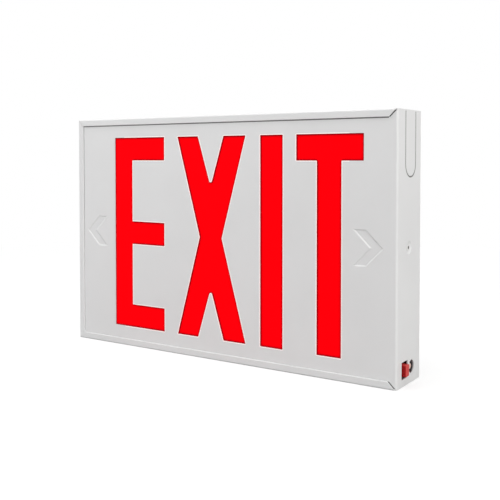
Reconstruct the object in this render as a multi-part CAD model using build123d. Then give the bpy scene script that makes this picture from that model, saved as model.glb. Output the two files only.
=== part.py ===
from build123d import *
import math
import os

# Emergency exit sign: a folded steel housing with a stencil cover that slides in from the right.
# Millimetres. Origin at the centre of the wiring hole in the rear mounting plane,
# +X to the right as the sign is read, +Y into the wall, +Z up.

# Sign and sheet
sign_width = 381.0
sign_height = 244.5
sign_depth = 54.0
sheet = 1.0
housing_bend = 1.6
slide_gap = 0.3
lip_width = 7.1
lip_edge_radius = 0.6
corner_seam_width = 0.3
corner_seam_depth = 0.4

# Rear panel
wiring_hole_radius = 11.1
box_hole_circle = 88.9
box_hole_radius = 2.4
keyhole_spacing = 203.2
keyhole_drop = 50.25
keyhole_head_radius = 4.6
keyhole_neck_width = 5.0
keyhole_length = 13.0
end_flange_depth = 11.0
screw_tab_margin = 11.5
screw_tab_height = 26.0
top_knockout_radius = 11.1

# Cover
cover_bend = 2.2
cover_end_gap = 0.5
channel_return = 6.0
channel_stop = 4.5
channel_bend = 1.4
knockout_half_width = 11.6
knockout_groove = 0.5
knockout_web = 0.25
knockout_setback = 30.2
knockout_drop = 47.85

# Stencil word
word_edge_gap = 20.65
word_left_gap = 53.45
word_right_gap = 31.95
upright_stroke = 25.3
bar_stroke = 24.4
e_width = 69.1
x_width = 84.2
t_width = 68.9
gap_e_x = 17.2
gap_x_i = 16.6
gap_i_t = 14.3
x_arm_width = 26.5
x_waist_width = 27.3
x_crotch_depth = 49.8
letter_corner = 0.5
crotch_corner = 1.6

# Pressed arrows
arrow_margin = 12.9
arrow_length = 29.8
arrow_half_height = 16.5
arrow_arm = 13.1
arrow_depth = 0.6
arrow_wall = 1.1
arrow_back_growth = 0.35

# Lens
lens_thickness = 2.0
lens_gap = 0.3
lens_edge = 0.5
lens_border = 6.0
lens_arrow_room = 4.0

# Cover screw
screw_setback = 27.5
screw_z = 0.0
dimple_radius = 6.0
dimple_floor_radius = 3.7
dimple_depth = 1.6
screw_shank_radius = 1.95
screw_hole_radius = 2.3
screw_length = 11.0
screw_head_radius = 3.2
screw_head_height = 1.1
screw_recess_radius = 1.5
screw_recess_depth = 0.8
screw_head_edge = 0.5
screw_slot = 0.7
weld_nut_size = 8.0
weld_nut_thickness = 3.0
thread_gap = 0.05

# Test switch and lamp
window_setback = 19.15
window_rise = 14.4
window_width = 13.7
window_height = 15.4
button_setback = 17.4
button_rise = 14.5
button_width = 7.8
button_height = 10.4
button_proud = 3.5
button_length = 12.5
button_corner = 0.7
button_travel = 1.5
stem_width = 4.0
stem_gap = 0.15
stem_socket = 2.0
spring_wire = 0.5
spring_radius = 3.1
spring_turns = 4
switch_width = 12.0
switch_height = 14.0
switch_length = 14.0
collar_width = 8.6
collar_height = 11.0
collar_length = 4.0
switch_edge = 0.5
stem_depth = 6.0
stem_fit = 0.05
spring_end_gap = 0.05
lamp_pitch = 17.2
lamp_rise = 14.4
lamp_hole_radius = 6.0
lamp_radius = 2.5
lamp_holder_radius = 5.2
lamp_holder_wall = 1.1
lamp_holder_setback = 0.8
lamp_reach = 0.5
lamp_neck_radius = 3.8
lamp_neck_length = 8.0
lamp_fit = 0.1
lamp_shoulder = 0.5
lamp_seat_depth = 2.0
lamp_step = 2.0
lamp_nut_radius = 5.5
lamp_nut_thickness = 2.0
bracket_setback = 18.5
bracket_sheet = 1.0
bracket_front_margin = 8.9
bracket_rear_margin = 7.4
bracket_height = 31.0
bracket_foot = 16.0
hole_gap = 0.2

# Reflector tray
tray_sheet = 0.6
tray_bend = 1.2
tray_end_gap = 38.5
tray_edge_gap = 18.25
tray_flange = 9.0
tray_relief = 1.5
tray_stand = 29.0
tray_post_inset_x = 17.0
tray_post_inset_z = 12.0
post_radius = 3.0
post_bore = 8.0
post_floor = 0.5

# Small screws
small_shank_radius = 1.45
small_bore_radius = 1.55
small_clear_radius = 1.7
small_head_radius = 2.8
small_head_height = 1.8
small_head_edge = 0.8
small_screw_length = 5.0
small_slot_width = 0.8
small_slot_depth = 0.8

# LED strips
strip_end_gap = 40.5
strip_width = 12.0
strip_thickness = 1.6
strip_setback = 2.4
strip_stand = 5.0
strip_pad_inset = 4.0
led_pitch = 25.0
led_width = 3.5
led_depth = 2.8
led_height = 1.0

# Charger board
board_end_gap = 50.5
board_width = 98.0
board_top = 0.0
board_height = 66.0
board_thickness = 1.6
board_stand = 6.0
board_hole_inset = 5.0

# Parts on the charger board
core_width = 34.0
core_height = 18.0
core_stack = 14.0
core_limb = 9.0
core_yoke = 4.5
coil_wall = 6.0
coil_gap = 0.2
transformer_z = -22.0
capacitor_radius = 5.0
capacitor_height = 16.0
capacitor_z = -16.0
small_capacitor_radius = 3.15
small_capacitor_height = 11.0
small_capacitor_z = -32.0
crimp_start = 1.5
crimp_half = 0.7
crimp_depth = 0.4
can_edge = 0.5
score_margin = 1.0
score_width = 0.4
terminal_width = 15.5
terminal_depth = 9.0
terminal_height = 10.0
terminal_ways = 3
terminal_bore_radius = 1.9
terminal_bore_depth = 3.0
terminal_mouth = 3.1
terminal_mouth_height = 3.0
terminal_mouth_depth = 2.3
terminal_x = 48.0
terminal_rise = 10.0
regulator_width = 10.2
regulator_depth = 4.4
regulator_height = 18.0
regulator_case_height = 9.0
regulator_edge = 0.6
regulator_z = -30.0
tab_thickness = 1.3
tab_hole_radius = 1.8
tab_hole_drop = 2.6
leg_length = 3.0
leg_pitch = 2.54
leg_width = 0.8
leg_thickness = 0.6
fuse_radius = 2.6
fuse_length = 20.0
fuse_cap = 4.5
fuse_cap_wall = 0.3
fuse_x = 20.0
fuse_rise = 13.0
header_length = 8.0
header_width = 7.4
header_height = 6.0
header_wall = 0.8
plug_gap = 0.1
plug_reach = 4.0
plug_edge = 0.4
battery_header_z = -17.0
strip_header_inset = 20.0
test_header_rise = 16.0

# Battery
cell_radius = 7.25
cell_length = 50.0
cell_count = 3
battery_wrap = 0.25
sleeve_waist = 6.4
battery_end_gap = 80.5
battery_z = -38.0
clip_sheet = 0.8
clip_width = 16.0
clip_foot = 10.0
clip_gap = 0.1
clip_bend = 2.0

# Leads, with the points between their ends as steps from a named place
lead_radius = 0.9
bend_share = 0.45
lead_pitch = 3.0
battery_lead_steps = [(14.75, 0, 0), (36.75, 1.0, -8.0), (62.75, 2.0, -12.0), (88.75, 0.5, -6.0)]
battery_lead_in = 17.0
upper_lead_steps = [(0, 0, 13.0), (4.0, -0.4, 33.0), (11.5, -0.9, 57.0), (21.0, -1.4, 79.5)]
upper_lead_end_steps = [(0, -2.4, -8.45), (0, -10.4, 0)]
lower_lead_steps = [(0, 0, -10.0)]
lower_lead_end_steps = [(-21.0, -0.4, 16.45), (-11.0, -2.4, 8.45), (-2.0, -8.4, 2.45), (0, -14.4, 0)]
switch_lead_out = 10.0
switch_lead_steps = [(-4.0, 21.6, 35.75), (0, 12.6, 23.75), (0, 3.6, 14.75), (0, 0, 7.75)]
lamp_lead_out = 9.0
lamp_lead_steps = [
    (-15.0, 6.9, 39.75), (-15.0, 5.9, 24.75), (-17.0, 4.4, 14.75), (-19.2, 1.9, 6.25), (-14.5, 0, 0),
]

# How far the cutters and the joined bodies of one piece run into each other
overlap = 0.1
near = 0.01

# Planes that the pieces share
right = sign_width / 2
left = -right
top = sign_height / 2
bottom = -top
front = -sign_depth
panel_face = -sheet
wall_end = right - sheet - slide_gap
inner_top = top - sheet
lip_back = front + sheet
cover_face = lip_back + slide_gap
cover_back = cover_face + sheet
lens_back = cover_back + lens_thickness
channel_back = lens_back + lens_gap + sheet
cover_left = left + sheet + cover_end_gap
cover_top = inner_top - slide_gap
end_inner = right - sheet
flange_x = end_inner - dimple_depth - slide_gap
tray_back = panel_face - tray_stand
tray_front = tray_back - tray_sheet
letter_top = top - word_edge_gap

# Places in the end panel
knockout_center_y = front + knockout_setback
knockout_center_z = top - knockout_drop
screw_y = front + screw_setback
window_y = front + window_setback
window_z = bottom + window_rise
button_y = front + button_setback
button_z = bottom + button_rise
lamp_y = button_y + lamp_pitch
lamp_z = bottom + lamp_rise
button_end = right + button_proud
button_root = button_end - button_length
bracket_x = right - bracket_setback
collar_end = bracket_x + collar_length
stem_root = bracket_x - stem_depth
lamp_seat = bracket_x + lamp_seat_depth

# Places inside the housing
tray_half_width = right - tray_end_gap
tray_half_height = top - tray_edge_gap
tray_post_x = tray_half_width - tray_post_inset_x
tray_post_z = tray_half_height - tray_post_inset_z
strip_length = sign_width - 2 * strip_end_gap
strip_y = channel_back + strip_setback + strip_width / 2
strip_edge_y = strip_y + strip_width / 2
strip_top = inner_top - strip_stand
strip_middle_z = strip_top - strip_thickness / 2
strip_pad_x = strip_length / 2 - strip_pad_inset
led_count = 2 * int(strip_length / 2 / led_pitch)
strip_screw_x = led_pitch * (led_count / 2 - 1)
board_right = right - board_end_gap
board_left = board_right - board_width
board_bottom = board_top - board_height
board_back = panel_face - board_stand
board_face = board_back - board_thickness
plug_y = board_face - header_height / 2
strip_lead_x = board_right - strip_header_inset
test_plug_z = board_bottom + test_header_rise
battery_x = left + battery_end_gap
battery_end = battery_x + cell_length / 2 + battery_wrap

# The tall parts stand evenly spaced across the charger board
part_gap = (board_width - header_length - core_width - 2 * capacitor_radius - regulator_width) / 4
transformer_x = header_length + part_gap + core_width / 2
capacitor_x = transformer_x + core_width / 2 + part_gap + capacitor_radius
regulator_x = capacitor_x + capacitor_radius + part_gap + regulator_width / 2


def block(x, y, z):
    """Box between two coordinates on each axis."""
    size = [max(span) - min(span) for span in (x, y, z)]
    middle = [(max(span) + min(span)) / 2 for span in (x, y, z)]
    return Pos(*middle) * Box(*size)


def block_face(across, up):
    """Rectangle between two coordinates on each axis of its plane."""
    size = [max(span) - min(span) for span in (across, up)]
    middle = [(max(span) + min(span)) / 2 for span in (across, up)]
    return Pos(*middle) * Rectangle(*size)


def around(middle, width):
    """The two ends of a span of this width."""
    return (middle - width / 2, middle + width / 2)


def rod_x(x, y, z, radius):
    """Round bar along X."""
    return Pos(min(x), y, z) * Rot(0, 90, 0) * extrude(Circle(radius), max(x) - min(x))


def rod_y(x, y, z, radius):
    """Round bar along Y."""
    return Pos(x, max(y), z) * Rot(90, 0, 0) * extrude(Circle(radius), max(y) - min(y))


def rod_z(x, y, z, radius):
    """Round bar along Z."""
    return Pos(x, y, min(z)) * extrude(Circle(radius), max(z) - min(z))


def front_prism(outline, y):
    """A closed outline of (x, z) points as a prism between two depths."""
    profile = make_face(Polyline(*[(x, z) for x, z in outline], close=True))
    return extrude(Plane.XZ.offset(-max(y)) * profile, max(y) - min(y))


def edges_along(part, axis, **at):
    """Edges along an axis whose middle lies at the given coordinates."""
    found = part.edges().filter_by(axis)
    for name, value in at.items():
        found = found.filter_by(lambda e, n=name, v=value: abs(getattr(e @ 0.5, n) - v) < near)
    return found


def vertex_at(face, x, y):
    """Corners of a flat face at one point."""
    return [v for v in face.vertices() if abs(v.X - x) + abs(v.Y - y) < near]


# Stencil letters

def letter_face(outline, sharp):
    """Letter outline with small punch radii; the sharp points get the larger crotch radius."""
    face = make_face(Polyline(*outline, close=True))
    crotches = [v for point in sharp for v in vertex_at(face, *point)]
    kept = [(v.X, v.Y) for v in face.vertices() if v not in crotches]
    if crotches:
        face = fillet(crotches, crotch_corner)
    corners = [v for point in kept for v in vertex_at(face, *point)]
    return fillet(corners, letter_corner)


def letter_e(x):
    """Letter E from its left edge."""
    arm = x + e_width * word_fit
    stem = x + upright_stroke
    inner = letter_top - bar_stroke
    half_bar = bar_stroke / 2
    outline = [
        (x, letter_top), (arm, letter_top), (arm, inner), (stem, inner),
        (stem, half_bar), (arm, half_bar), (arm, -half_bar), (stem, -half_bar),
        (stem, -inner), (arm, -inner), (arm, -letter_top), (x, -letter_top),
    ]
    return letter_face(outline, [])


def letter_x(x):
    """Letter X from its left edge."""
    end = x + x_width * word_fit
    middle = (x + end) / 2
    waist = x_waist_width / 2
    crotch = letter_top - x_crotch_depth
    outline = [
        (x, letter_top), (x + x_arm_width, letter_top), (middle, crotch),
        (end - x_arm_width, letter_top), (end, letter_top), (middle + waist, 0),
        (end, -letter_top), (end - x_arm_width, -letter_top), (middle, -crotch),
        (x + x_arm_width, -letter_top), (x, -letter_top), (middle - waist, 0),
    ]
    return letter_face(outline, [(middle, crotch), (middle, -crotch)])


def letter_i(x):
    """Letter I from its left edge."""
    end = x + upright_stroke
    return letter_face([(x, letter_top), (end, letter_top), (end, -letter_top), (x, -letter_top)], [])


def letter_t(x):
    """Letter T from its left edge."""
    end = x + t_width * word_fit
    stem = (x + end) / 2 - upright_stroke / 2
    under = letter_top - bar_stroke
    outline = [
        (x, letter_top), (end, letter_top), (end, under), (stem + upright_stroke, under),
        (stem + upright_stroke, -letter_top), (stem, -letter_top), (stem, under), (x, under),
    ]
    return letter_face(outline, [])


# The word fills the face between its two margins: the wide letters and the gaps stretch, the strokes stay
word_left = left + word_left_gap
word_right = right - word_right_gap
word_stretch = e_width + gap_e_x + x_width + gap_x_i + gap_i_t + t_width
word_fit = (word_right - word_left - upright_stroke) / word_stretch
x_left = word_left + (e_width + gap_e_x) * word_fit
i_left = x_left + (x_width + gap_x_i) * word_fit
t_left = i_left + upright_stroke + gap_i_t * word_fit


def word_cutter():
    """The four letters as prisms through the face sheet."""
    letters = [letter_e(word_left), letter_x(x_left), letter_i(i_left), letter_t(t_left)]
    depth = 3 * sheet
    plane = Plane.XZ.offset(-(cover_face + 2 * sheet))
    return [extrude(plane * letter, depth) for letter in letters]


# Pressed arrows

def arrow_outline(side):
    """Chevron that points to the near side edge."""
    tip = right - arrow_margin
    back = tip - arrow_length
    arm = back + arrow_arm
    points = [
        (tip, 0), (arm, arrow_half_height), (back, arrow_half_height),
        (tip - arrow_arm, 0), (back, -arrow_half_height), (arm, -arrow_half_height),
    ]
    return make_face(Polyline(*[(side * x, z) for x, z in points], close=True))


def arrow_prism(side, growth, y_wide, y_narrow):
    """Chevron with sloped walls, wide at one depth and narrower at the other."""
    wide = offset(arrow_outline(side), growth, kind=Kind.INTERSECTION)
    narrow = offset(arrow_outline(side), growth - arrow_wall, kind=Kind.INTERSECTION)
    return loft([Plane.XZ.offset(-y_wide) * wide, Plane.XZ.offset(-y_narrow) * narrow], ruled=True)


# Sheet metal

def housing_shell():
    """Back, top, bottom and left walls with the front lips, folded from one sheet."""
    x = (left, wall_end)
    outer = block(x, (front, 0), (bottom, top))
    long_edges = edges_along(outer, Axis.X, Y=front) + edges_along(outer, Axis.X, Y=0)
    outer = fillet(long_edges + edges_along(outer, Axis.Z, X=left), housing_bend)
    inner = block((left + sheet, wall_end), (lip_back, panel_face), (-inner_top, inner_top))
    long_edges = edges_along(inner, Axis.X, Y=lip_back) + edges_along(inner, Axis.X, Y=panel_face)
    inner = fillet(long_edges + edges_along(inner, Axis.Z, X=left + sheet), housing_bend - sheet)
    shell = outer - inner

    # Front opening between the lips, with 45 degree mitres at the open end
    lip_edge = top - lip_width
    opening = block((left + lip_width, right), (front - sheet, lip_back), (-lip_edge, lip_edge))
    shell -= opening
    for side in (-1, 1):
        mitre = [(wall_end - lip_width, side * lip_edge), (right, side * lip_edge), (right, side * top),
                 (wall_end, side * top)]
        shell -= front_prism(mitre, (front - sheet, lip_back + slide_gap / 2))

    # Rounded front edges of the lips round the opening
    rim = edges_along(shell, Axis.Z, X=left + lip_width, Y=front)
    for side in (-1, 1):
        rim += edges_along(shell, Axis.X, Z=side * lip_edge, Y=front)
    shell = fillet(rim, lip_edge_radius)

    # Hairline seams where the left lip meets the upper and lower lips
    for side in (-1, 1):
        seam_end = (left + lip_width, side * lip_edge)
        width = corner_seam_width / math.sqrt(2)
        seam = [(left - width, side * top), (left + width, side * top), (seam_end[0] + width, seam_end[1]),
                (seam_end[0] - width, seam_end[1])]
        shell -= front_prism(seam, (front - sheet, front + corner_seam_depth))

    # Right edge: end flange and screw tab, folded forward from the rear panel
    bend_start = flange_x - sheet - housing_bend
    shell -= block((bend_start, right), (-housing_bend, sheet), (-inner_top, inner_top))
    flange_half = inner_top - slide_gap
    shell += folded_flange(bend_start, end_flange_depth, (-flange_half, flange_half))
    shell += folded_flange(bend_start, screw_tab_margin - screw_y, around(screw_z, screw_tab_height))
    shell -= rod_x((flange_x - 2 * sheet, flange_x + sheet), screw_y, screw_z, screw_hole_radius)

    # Holes in the rear panel
    through = (panel_face - sheet, sheet)
    shell -= rod_y(0, through, 0, wiring_hole_radius)
    for corner in range(4):
        angle = math.radians(45 + 90 * corner)
        reach = box_hole_circle / 2
        shell -= rod_y(reach * math.cos(angle), through, reach * math.sin(angle), box_hole_radius)
    for side in (-1, 1):
        x = side * keyhole_spacing / 2
        keyhole_z = top - keyhole_drop
        neck_top = keyhole_z + keyhole_length - keyhole_neck_width / 2
        shell -= rod_y(x, through, keyhole_z, keyhole_head_radius)
        shell -= block(around(x, keyhole_neck_width), through, (keyhole_z, neck_top))
        shell -= rod_y(x, through, neck_top, keyhole_neck_width / 2)

    # Half-sheared disc in the top wall for a ceiling canopy
    middle_y = -sign_depth / 2
    groove = (top - sheet + knockout_web, top + sheet)
    ring = rod_z(0, middle_y, groove, top_knockout_radius + knockout_groove)
    shell -= ring - rod_z(0, middle_y, groove, top_knockout_radius)
    return shell


def folded_flange(start, depth, z):
    """Strip of the rear panel from start, bent forward at the end flange."""
    inner_x = flange_x - sheet
    profile = make_face(Polyline(
        (start, 0), (flange_x, 0), (flange_x, -depth), (inner_x, -depth),
        (inner_x, panel_face), (start, panel_face), close=True))
    profile = fillet(vertex_at(profile, flange_x, 0), housing_bend)
    profile = fillet(vertex_at(profile, inner_x, panel_face), housing_bend - sheet)
    return extrude(Plane.XY.offset(min(z)) * profile, max(z) - min(z))


def cover():
    """Stencil face, channels and right end panel, folded from one sheet."""
    corner = make_face(Polyline(
        (cover_left, cover_face), (right, cover_face), (right, 0),
        (end_inner, 0), (end_inner, cover_back), (cover_left, cover_back), close=True))
    corner = fillet(vertex_at(corner, right, cover_face), cover_bend)
    corner = fillet(vertex_at(corner, end_inner, cover_back), cover_bend - sheet)
    body = extrude(Plane.XY.offset(bottom) * corner, sign_height)
    for side in (-1, 1):
        body -= block((left, end_inner), (front, sheet), (side * cover_top, side * (top + sheet)))

    # Channels along the upper and lower edges hold the lens
    channel_end = end_inner - channel_stop
    for side in (-1, 1):
        edge = (side * (cover_top - channel_bend), side * top)
        body -= block((left, channel_end), (front, channel_back), edge)
        profile = lens_channel() if side > 0 else lens_channel().mirror(Plane.XZ)
        body += extrude(Plane.YZ.offset(cover_left) * profile, channel_end - cover_left)

    for letter in word_cutter():
        body -= letter
    for side in (-1, 1):
        body += arrow_prism(side, arrow_back_growth, cover_back - sheet / 4, cover_back + arrow_depth)
        body -= arrow_prism(side, 0, cover_face, cover_face + arrow_depth)

    body = dimpled(body)
    body -= knockout_groove_cutter()
    through = (end_inner - sheet, right + sheet)
    body -= block(through, around(window_y, window_width), around(window_z, window_height))
    return body - rod_x(through, lamp_y, lamp_z, lamp_hole_radius)


def lens_channel():
    """Section of the upper channel: the face sheet rolled back over the lens."""
    start = cover_top - channel_bend
    lower = cover_top - sheet - channel_return
    profile = make_face(Polyline(
        (cover_face, start), (cover_face, cover_top), (channel_back, cover_top), (channel_back, lower),
        (channel_back - sheet, lower), (channel_back - sheet, cover_top - sheet),
        (cover_back, cover_top - sheet), (cover_back, start), close=True))
    for y in (cover_face, channel_back):
        profile = fillet(vertex_at(profile, y, cover_top), channel_bend)
    for y in (cover_back, channel_back - sheet):
        profile = fillet(vertex_at(profile, y, cover_top - sheet), channel_bend - sheet)
    return profile


def dimpled(body):
    """Conical dimple for the head of the cover screw."""
    seat = right - dimple_depth
    inner_cone = Pos(right - dimple_depth / 2, screw_y, screw_z) * Rot(0, 90, 0) * Cone(
        dimple_floor_radius, dimple_radius, dimple_depth)
    outer_cone = Pos(end_inner - dimple_depth / 2, screw_y, screw_z) * Rot(0, 90, 0) * Cone(
        dimple_floor_radius + sheet / 2, dimple_radius + sheet / 2, dimple_depth)
    body += outer_cone
    body -= inner_cone
    return body - rod_x((seat - 2 * sheet, seat + sheet), screw_y, screw_z, screw_hole_radius)


def knockout_tongue(half_width):
    """Round-ended tongue that runs out at the upper edge of the end panel."""
    straight = block_face(around(knockout_center_y, 2 * half_width), (knockout_center_z, top + sheet))
    return straight + Pos(knockout_center_y, knockout_center_z) * Circle(half_width)


def knockout_groove_cutter():
    """Half-sheared U in the end panel."""
    ring = knockout_tongue(knockout_half_width + knockout_groove / 2)
    ring -= knockout_tongue(knockout_half_width - knockout_groove / 2)
    return extrude(Plane.YZ.offset(end_inner + knockout_web) * ring, sheet)


# Lens and reflector

def lens_panel():
    """Red diffuser that stands in the lower channel, notched round the right arrow."""
    low = -(cover_top - sheet)
    high = cover_top - sheet - lens_gap
    lens = block((word_left - lens_border, word_right + lens_border), (cover_back, lens_back), (low, high))
    lens = chamfer(edges_along(lens, Axis.X, Z=low) + edges_along(lens, Axis.X, Z=high), lens_edge)
    arrow_back = right - arrow_margin - arrow_length
    room = arrow_half_height + lens_arrow_room
    depth = (cover_back - sheet, lens_back + sheet)
    return lens - block((arrow_back - lens_arrow_room, right), depth, (-room, room))


def tray_corners(x, z):
    """The four places at plus and minus x and z."""
    return [(side_x * x, side_z * z) for side_x in (-1, 1) for side_z in (-1, 1)]


def reflector_tray():
    """White tray that hides the electronics and returns light to the lens."""
    rear = tray_back + tray_flange
    width = (-tray_half_width, tray_half_width)
    height = (-tray_half_height, tray_half_height)
    outer = block(width, (tray_front, rear), height)
    outer = fillet(outer.edges().filter_by(lambda e: abs((e @ 0.5).Y - tray_front) < near), tray_bend)
    inner = block((width[0] + tray_sheet, width[1] - tray_sheet), (tray_back, rear),
                  (height[0] + tray_sheet, height[1] - tray_sheet))
    inner_edges = inner.edges().filter_by(lambda e: abs((e @ 0.5).Y - tray_back) < near)
    inner = fillet(inner_edges, tray_bend - tray_sheet)
    tray = outer - inner
    for x, z in tray_corners(tray_half_width, tray_half_height):
        relief = 2 * tray_relief
        tray -= block(around(x, relief), (tray_front + tray_relief, rear), around(z, relief))
    for x, z in tray_corners(tray_post_x, tray_post_z):
        tray -= rod_y(x, (tray_front - sheet, tray_back + sheet), z, small_clear_radius)
    return tray


# Posts and small screws

def small_screw():
    """Pan head screw with its head above the origin and its shank below."""
    head = extrude(Circle(small_head_radius), small_head_height)
    head = fillet(head.edges().sort_by(Axis.Z)[-1], small_head_edge)
    slot = block(around(0, 3 * small_head_radius), around(0, small_slot_width),
                 (small_head_height - small_slot_depth, 2 * small_head_height))
    return head + rod_z(0, 0, (-small_screw_length, overlap), small_shank_radius) - slot


def post(length):
    """Threaded post from the origin upwards, open at its far end."""
    bore = rod_z(0, 0, (length - min(length, post_bore) + post_floor, length + sheet), small_bore_radius)
    return extrude(Circle(post_radius), length) - bore


def group(places, piece):
    """Copies of one piece at several places, as separate solids."""
    return Compound(children=[place * piece for place in places])


toward_front = Rot(90, 0, 0)
toward_floor = Rot(180, 0, 0)


def tray_post_places():
    return [Pos(x, panel_face, z) * toward_front for x, z in tray_corners(tray_post_x, tray_post_z)]


def tray_screw_places():
    return [Pos(x, tray_front, z) * toward_front for x, z in tray_corners(tray_post_x, tray_post_z)]


def board_corners():
    """Screw positions on the charger board."""
    left_x = board_left + board_hole_inset
    right_x = board_right - board_hole_inset
    high = board_top - board_hole_inset
    low = board_bottom + board_hole_inset
    return [(x, z) for x in (left_x, right_x) for z in (low, high)]


def board_places(y):
    """Places of the board's posts or screws at one depth."""
    return [Pos(x, y, z) * toward_front for x, z in board_corners()]


# LED strips

def strip_places(side):
    """Screw positions along a strip, at the face that meets its posts."""
    return [(x * strip_screw_x, side * strip_top) for x in (-1, 0, 1)]


def led_strip(side):
    """Circuit board of the upper or lower strip."""
    wall_side = side * strip_top
    light_side = side * (strip_top - strip_thickness)
    board = block(around(0, strip_length), around(strip_y, strip_width), (wall_side, light_side))
    for x, z in strip_places(side):
        board -= rod_z(x, strip_y, (z - 2 * strip_thickness, z + 2 * strip_thickness), small_clear_radius)
    return board


def led_chips(side):
    """Light sources soldered along a strip."""
    base = side * (strip_top - strip_thickness)
    chip = block(around(0, led_width), around(strip_y, led_depth), (base, base - side * led_height))
    chip = chamfer(edges_along(chip, Axis.X, Z=base - side * led_height), led_height / 4)
    first = -(led_count - 1) / 2
    return group([Pos((first + i) * led_pitch, 0, 0) for i in range(led_count)], chip)


def strip_posts(side):
    turn = toward_floor if side > 0 else Rot(0, 0, 0)
    places = [Pos(x, strip_y, side * inner_top) * turn for x, _ in strip_places(side)]
    return group(places, post(strip_stand))


def strip_screws(side):
    turn = toward_floor if side > 0 else Rot(0, 0, 0)
    head = side * (strip_top - strip_thickness)
    places = [Pos(x, strip_y, head) * turn for x, _ in strip_places(side)]
    return group(places, small_screw())


# Charger board

def charger_board():
    board = block((board_left, board_right), (board_face, board_back), (board_bottom, board_top))
    for x, z in board_corners():
        board -= rod_y(x, (board_face - sheet, board_back + sheet), z, small_clear_radius)
    return board


def on_board(x, z):
    """Place on the board's face, from its upper left corner, with Z standing off the board."""
    return Pos(board_left + x, board_face, board_top + z) * toward_front


def transformer_core():
    """Laminated core with two windows, seen across its stack."""
    window_width = core_width / 2 - core_yoke - core_limb / 2
    window_height = core_height - 2 * core_yoke
    core = Pos(0, 0, core_height / 2) * Box(core_width, core_stack, core_height)
    for side in (-1, 1):
        x = side * (core_limb + window_width) / 2
        core -= Pos(x, 0, core_height / 2) * Box(window_width, 2 * core_stack, window_height)
    return on_board(transformer_x, transformer_z) * core


def transformer_coil():
    """Winding on its bobbin round the middle limb."""
    width = core_width - 2 * core_yoke - 2 * coil_gap
    height = core_height - 2 * core_yoke - 2 * coil_gap
    coil = Box(width, core_stack + 2 * coil_wall, height)
    coil = fillet(coil.edges().filter_by(Axis.Z), coil_wall / 2)
    coil -= Box(core_limb + 2 * coil_gap, core_stack + 2 * coil_gap, 2 * height)
    return on_board(transformer_x, transformer_z) * Pos(0, 0, core_height / 2) * coil


def can_capacitor(radius, height):
    """Electrolytic can with its crimped neck and scored top."""
    crimp_middle = crimp_start + crimp_half
    profile = make_face(Polyline(
        (0, 0), (radius, 0), (radius, crimp_start), (radius - crimp_depth, crimp_middle),
        (radius, crimp_middle + crimp_half), (radius, height - can_edge),
        (radius - can_edge, height), (0, height), close=True))
    can = revolve(Plane.XZ * profile, Axis.Z)
    score = Box(2 * (radius - score_margin), score_width, score_width)
    return can - Pos(0, 0, height) * score - Pos(0, 0, height) * Rot(0, 0, 90) * score


def terminal_block():
    """Mains terminals, where the building's supply is made off."""
    pitch = terminal_width / terminal_ways
    body = Pos(0, 0, terminal_height / 2) * Box(terminal_width, terminal_depth, terminal_height)
    for i in range(terminal_ways):
        x = (i - (terminal_ways - 1) / 2) * pitch
        bore = (terminal_height - terminal_bore_depth, terminal_height + sheet)
        body -= rod_z(x, 0, bore, terminal_bore_radius)
        body -= block(around(x, terminal_mouth), (terminal_depth / 2 - terminal_mouth_depth, terminal_depth),
                      around(terminal_mouth_height, terminal_mouth))
    return on_board(terminal_x, terminal_rise - board_height) * body


def regulator():
    """Power transistor that stands on its legs, with a metal tab."""
    width = around(0, regulator_width)
    case = block(width, around(0, regulator_depth), (leg_length, leg_length + regulator_case_height))
    case = chamfer(case.edges().filter_by(Axis.X).sort_by(Axis.Z)[-2:], regulator_edge)
    tab_back = -regulator_depth / 2
    tab = block(width, (tab_back, tab_back + tab_thickness), (regulator_case_height, regulator_height))
    tab -= rod_y(0, around(tab_back, 4 * tab_thickness), regulator_height - tab_hole_drop, tab_hole_radius)
    legs = [block(around(x * leg_pitch, leg_width), around(0, leg_thickness), (0, leg_length + overlap))
            for x in (-1, 0, 1)]
    return on_board(regulator_x, regulator_z) * (case + tab + legs)


def fuse_body():
    """Cylindrical fuse with end caps, soldered flat to the board."""
    tube = rod_x(around(0, fuse_length), 0, fuse_radius, fuse_radius - fuse_cap_wall)
    for side in (-1, 1):
        end = side * fuse_length / 2
        tube += rod_x((end, end - side * fuse_cap), 0, fuse_radius, fuse_radius)
    return on_board(fuse_x, fuse_rise - board_height) * tube


def header():
    """Side-entry socket: open towards +X, standing on the board."""
    shell = block((-header_length, 0), around(0, header_width), (0, header_height))
    hollow = block((-header_length + header_wall, sheet), around(0, header_width - 2 * header_wall),
                   (header_wall, header_height - header_wall))
    return shell - hollow


def plug():
    """Plug that fills the socket and stands out of it, with a lead hole's place at its end."""
    width = header_width - 2 * header_wall - 2 * plug_gap
    height = header_height - 2 * header_wall - 2 * plug_gap
    length = (-header_length + header_wall, plug_reach)
    body = block(length, around(0, width), around(header_height / 2, height))
    return fillet(body.edges().filter_by(Axis.X), plug_edge)


def header_places():
    """Sockets by name: their mouths lie on the board's edges."""
    def at(x, z, turn):
        return on_board(x, z) * Rot(0, 0, turn)
    return {
        "battery": at(0, battery_header_z, 180),
        "upper_strip": at(strip_lead_x - board_left, 0, 90),
        "lower_strip": at(strip_lead_x - board_left, -board_height, -90),
        "test": at(board_width, test_header_rise - board_height, 0),
    }


# Battery

def battery_pack():
    """Three cells side by side in one shrink sleeve."""
    radius = cell_radius + battery_wrap
    pitch = 2 * cell_radius
    first = -(cell_count - 1) / 2
    centers = [(first + i) * pitch for i in range(cell_count)]
    section = Rectangle(2 * sleeve_waist, centers[-1] - centers[0])
    for z in centers:
        section += Pos(0, z) * Circle(radius)
    place = Plane.YZ.offset(battery_x) * Pos(panel_face - radius, battery_z)
    return extrude(place * section, cell_length / 2 + battery_wrap, both=True)


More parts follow.
